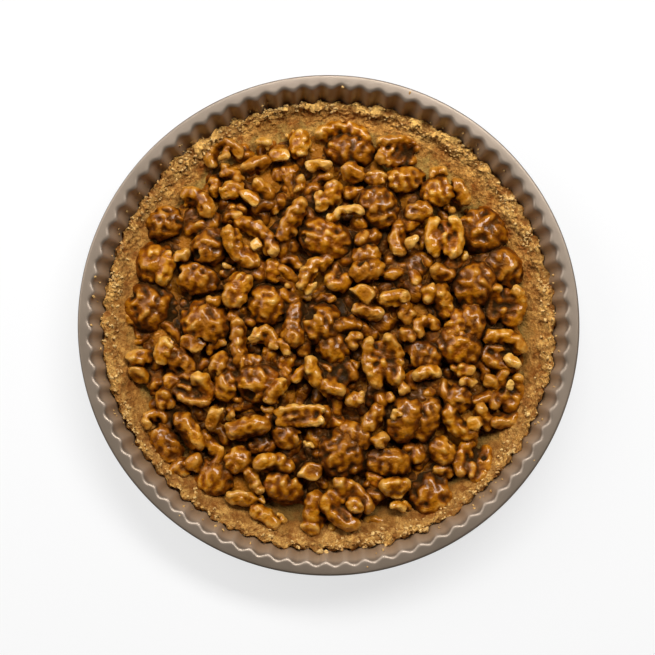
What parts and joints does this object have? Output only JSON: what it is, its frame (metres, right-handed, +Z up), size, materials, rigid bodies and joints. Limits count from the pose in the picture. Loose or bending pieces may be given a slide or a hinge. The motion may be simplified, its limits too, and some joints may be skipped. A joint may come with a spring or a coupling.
{
  "type": "walnut tart",
  "caption": "Round walnut tart in its fluted metal tin, with a crumbly shortcrust shell and a heap of caramelised walnuts.",
  "frame": {"origin": "centre of the tin's base, on the surface it stands on", "axes": "+Z up, square to the base and out through the open top of the tin; +X and +Y lie in the base"},
  "size_m": [0.3, 0.3, 0.032],
  "materials": {
    "tin_coating": "satin taupe non-stick coating",
    "shortcrust": "baked shortcrust, matt and crumbly",
    "caramelised_walnut": "walnuts coated in glossy amber caramel"
  },
  "bodies": {
    "root": {"tart_tin": "tin_coating", "crust": "shortcrust", "walnut_heap": "caramelised_walnut"}
  },
  "joints": []
}
